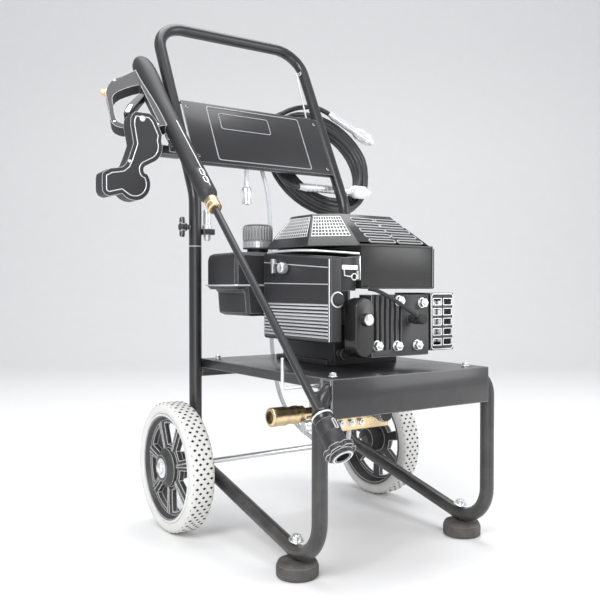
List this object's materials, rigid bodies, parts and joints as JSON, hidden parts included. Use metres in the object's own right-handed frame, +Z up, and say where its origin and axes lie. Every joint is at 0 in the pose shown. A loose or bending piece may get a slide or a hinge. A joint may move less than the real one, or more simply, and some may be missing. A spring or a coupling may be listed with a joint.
{
  "type": "wheeled petrol pressure washer",
  "caption": "Petrol pressure washer on a bent-tube cart with two wheels, raked handle, engine on a tray, pump below, trigger gun with lance, and coiled hose.",
  "frame": {"origin": "middle of the machine's footprint box on the floor, measured without the hoses", "axes": "+Z up, -Y towards the front (apron) side, +X towards the hose side"},
  "size_m": [0.7577, 0.7638, 1.0585],
  "materials": {
    "frame_coat": "satin black powder coat",
    "black_plastic": "moulded, fine grain",
    "gloss_black": "gloss black moulding",
    "rubber": "matt black",
    "tyre": "pale solid tyre with block tread",
    "rim": "dark moulded wheel",
    "zinc": "bright zinc plate",
    "brass": "turned brass",
    "cast_alloy": "die cast",
    "steel": "ground",
    "hose_rubber": "black hose cover",
    "clear_hose": "clear vinyl"
  },
  "bodies": {
    "frame": {"left_side_tube": "frame_coat", "right_side_tube": "frame_coat", "left_foot": "rubber", "right_foot": "rubber", "engine_tray": "frame_coat", "lance_hook": "zinc", "axle": "zinc", "engine_block": "cast_alloy", "piston": "steel", "cylinder_head": "cast_alloy", "rocker_cover": "gloss_black", "muffler": "steel", "muffler_guard": "frame_coat", "spark_plug": "rubber", "plug_lead": "rubber", "carburettor": "cast_alloy", "louvre_cover": "black_plastic", "engine_hood": "gloss_black", "fuel_tank": "black_plastic", "primer_bulb": "rubber", "pump_housing": "cast_alloy", "pump_head": "brass", "outlet_fitting": "zinc", "siphon_hose": "clear_hose", "siphon_strainer": "zinc"},
    "handle": {"handle_tube": "frame_coat", "billboard_panel": "frame_coat", "hose_hanger": "frame_coat", "guide_wire": "zinc", "gun_holster": "black_plastic", "nozzle_clip": "black_plastic", "hose_coil": "hose_rubber", "hose_end_upper": "zinc", "hose_end_lower": "zinc"},
    "left_wheel": {"left_tyre": "tyre", "left_rim": "rim"},
    "right_wheel": {"right_tyre": "tyre", "right_rim": "rim"},
    "left_clamp": {"left_clamp_knob": "black_plastic"},
    "right_clamp": {"right_clamp_knob": "black_plastic"},
    "gun": {"gun_shell": "black_plastic", "gun_inlet": "brass", "lance_tube": "frame_coat", "nozzle_barrel": "gloss_black"},
    "gun_trigger": {"trigger": "gloss_black"},
    "gun_trigger_lock": {"trigger_lock": "zinc"},
    "gun_collar": {"lance_collar": "brass"},
    "nozzle": {"nozzle_collar": "black_plastic"},
    "spare": {"spare_nozzle": "brass"},
    "crank": {"crankshaft": "steel", "flywheel": "cast_alloy", "swash_plate": "steel"},
    "starter": {"starter_grip": "black_plastic"},
    "cap": {"fuel_cap": "black_plastic"},
    "plug": {"oil_plug": "black_plastic"},
    "choke": {"choke_knob": "zinc"},
    "valve": {"fuel_valve": "zinc"},
    "inlet": {"inlet_swivel": "brass"},
    "unloader": {"unloader_knob": "black_plastic"}
  },
  "joints": [
    {"name": "handle_slide", "type": "slide", "parent": "frame", "child": "handle", "axis": [0, 0, 1], "range_m": [0, 0.045]},
    {"name": "left_clamp_turn", "type": "hinge", "parent": "handle", "child": "left_clamp", "pos_m": [-0.1513, 0.1731, 0.588], "axis": [1, 0, 0], "range_deg": [0, 180]},
    {"name": "right_clamp_turn", "type": "hinge", "parent": "handle", "child": "right_clamp", "pos_m": [0.2517, 0.1731, 0.588], "axis": [1, 0, 0], "range_deg": [0, 180]},
    {"name": "left_wheel_spin", "type": "hinge", "parent": "frame", "child": "left_wheel", "pos_m": [-0.201, 0.1356, 0.1235], "axis": [1, 0, 0], "continuous": true},
    {"name": "right_wheel_spin", "type": "hinge", "parent": "frame", "child": "right_wheel", "pos_m": [0.3014, 0.1356, 0.1235], "axis": [1, 0, 0], "continuous": true},
    {"name": "gun_lift", "type": "slide", "parent": "handle", "child": "gun", "axis": [0, 0, 1], "range_m": [0, 0.12]},
    {"name": "trigger_pull", "type": "hinge", "parent": "gun", "child": "gun_trigger", "pos_m": [-0.21375, 0.26538, 0.85296], "axis": [0.342, 0.6668, -0.6621], "range_deg": [0, 12], "stiffness_Nm_per_rad": 0.6, "springref_deg": -17.19},
    {"name": "trigger_lock_turn", "type": "hinge", "parent": "gun_trigger", "child": "gun_trigger_lock", "pos_m": [-0.25533, 0.23522, 0.81667], "axis": [0.342, 0.6668, -0.6621], "range_deg": [-60, 0]},
    {"name": "lance_collar_turn", "type": "hinge", "parent": "gun", "child": "gun_collar", "pos_m": [-0.1818, 0.01544, 0.61778], "axis": [0, -0.7046, -0.7096], "range_deg": [0, 90]},
    {"name": "nozzle_turn", "type": "hinge", "parent": "gun", "child": "nozzle", "pos_m": [-0.1818, -0.34886, 0.25093], "axis": [0, -0.7046, -0.7096], "range_deg": [-90, 90]},
    {"name": "spare_nozzle_lift", "type": "slide", "parent": "handle", "child": "spare", "axis": [0, 0, 1], "range_m": [0, 0.05]},
    {"name": "crank_spin", "type": "hinge", "parent": "frame", "child": "crank", "pos_m": [0.0802, -0.0204, 0.4], "axis": [0, 0, 1], "continuous": true},
    {"name": "starter_pull", "type": "slide", "parent": "frame", "child": "starter", "axis": [0, 1, 0], "range_m": [0, 0.12], "stiffness_N_per_m": 40, "springref_m": -0.05},
    {"name": "fuel_cap_turn", "type": "hinge", "parent": "frame", "child": "cap", "pos_m": [-0.0398, 0.0946, 0.568], "axis": [0, 0, 1], "range_deg": [0, 90]},
    {"name": "oil_plug_turn", "type": "hinge", "parent": "frame", "child": "plug", "pos_m": [0.0162, -0.1004, 0.3473], "axis": [0, 1, 0], "range_deg": [0, 180]},
    {"name": "choke_pull", "type": "slide", "parent": "frame", "child": "choke", "axis": [-1, 0, 0], "range_m": [0, 0.012]},
    {"name": "fuel_valve_turn", "type": "hinge", "parent": "frame", "child": "valve", "pos_m": [-0.0691, -0.0104, 0.514], "axis": [1, 0, 0], "range_deg": [-90, 0]},
    {"name": "inlet_swivel_spin", "type": "hinge", "parent": "frame", "child": "inlet", "pos_m": [-0.0998, -0.1064, 0.245], "axis": [1, 0, 0], "continuous": true},
    {"name": "unloader_turn", "type": "hinge", "parent": "frame", "child": "unloader", "pos_m": [0.0702, -0.1504, 0.24], "axis": [0, 1, 0], "range_deg": [-180, 180]}
  ]
}
